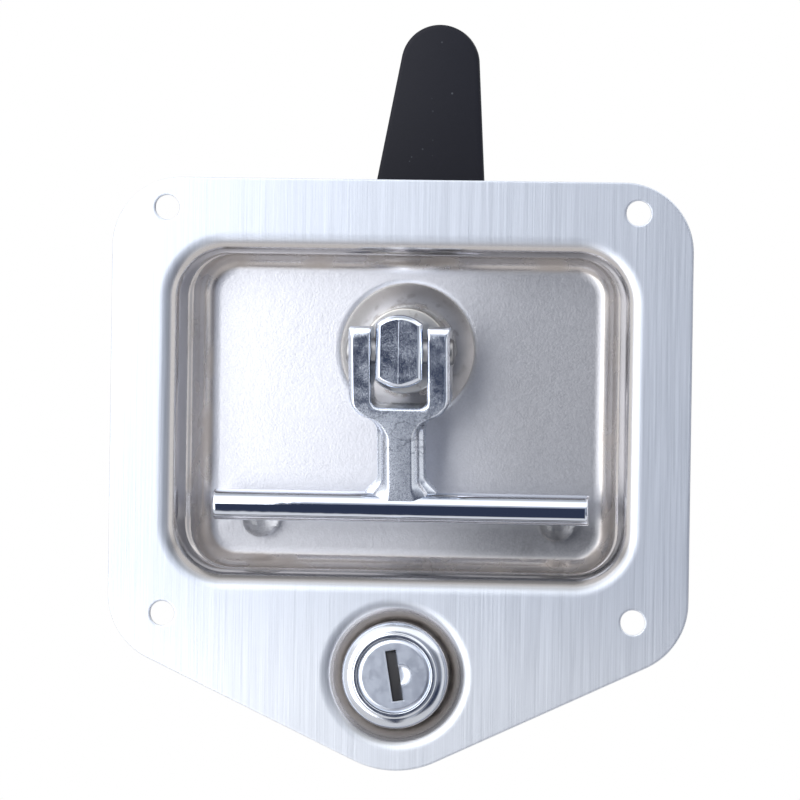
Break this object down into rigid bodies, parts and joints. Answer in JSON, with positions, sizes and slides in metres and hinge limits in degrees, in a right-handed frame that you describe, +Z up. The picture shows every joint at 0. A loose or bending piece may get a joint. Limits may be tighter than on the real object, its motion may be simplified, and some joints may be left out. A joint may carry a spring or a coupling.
{
  "type": "recessed folding t-handle latch",
  "caption": "Recessed trailer door latch: pressed plate with drawn pan, folding T-handle on a turning shaft, latch cam behind the plate and a key lock below.",
  "frame": {"origin": "centre of the four screw holes, on the flange's rear (mounting) face", "axes": "+X to the right and +Z up as seen from the front, +Y into the door; the visible front faces -Y"},
  "size_m": [0.13, 0.0525, 0.1678],
  "materials": {
    "stainless": "brushed flange, satin pressed pan",
    "chrome": "polished chrome plate on die casting",
    "bush_metal": "turned, dull",
    "zinc_plate": "zinc plated steel",
    "spring_steel": "drawn spring wire",
    "black_coat": "semi-matt black coat",
    "clear_rubber": "clear soft dome",
    "brass": "stamped",
    "shutter_steel": "dull dark steel"
  },
  "bodies": {
    "housing": {"latch_plate": "stainless", "bumper_left": "clear_rubber", "bumper_right": "clear_rubber", "shaft_bush": "bush_metal", "bush_ring": "zinc_plate", "lock_body": "chrome", "lock_washer": "zinc_plate", "lock_nut": "zinc_plate"},
    "shaft_assembly": {"shaft": "chrome", "thrust_washer": "zinc_plate", "shaft_spring": "spring_steel", "lock_disc": "zinc_plate", "latch_cam": "black_coat", "cam_washer": "zinc_plate", "cam_nut": "zinc_plate"},
    "handle": {"t_handle": "chrome", "pivot_pin": "chrome"},
    "key_plug": {"lock_plug": "chrome", "wafer_tumblers": "brass", "lock_tongue": "zinc_plate", "tongue_washer": "zinc_plate", "tongue_nut": "zinc_plate"},
    "shutter": {"key_shutter": "shutter_steel"}
  },
  "joints": [
    {"name": "shaft_turn", "type": "hinge", "parent": "housing", "child": "shaft_assembly", "pos_m": [0, 0, 0.014], "axis": [0, 1, 0], "range_deg": [0, 90]},
    {"name": "handle_fold", "type": "hinge", "parent": "shaft_assembly", "child": "handle", "pos_m": [0, 0, 0.014], "axis": [-1, 0, 0], "range_deg": [0, 98]},
    {"name": "lock_turn", "type": "hinge", "parent": "housing", "child": "key_plug", "pos_m": [0, 0, -0.0581], "axis": [0, -1, 0], "range_deg": [0, 80]},
    {"name": "shutter_swing", "type": "hinge", "parent": "key_plug", "child": "shutter", "pos_m": [-0.00108, -0.0033, -0.05828], "axis": [-0.165, 0, 0.9863], "range_deg": [0, 80], "stiffness_Nm_per_rad": 0.0005}
  ],
  "couplings": [
    {"joint": "shaft_turn", "follows": "handle_fold", "ratio": 0.9183}
  ]
}
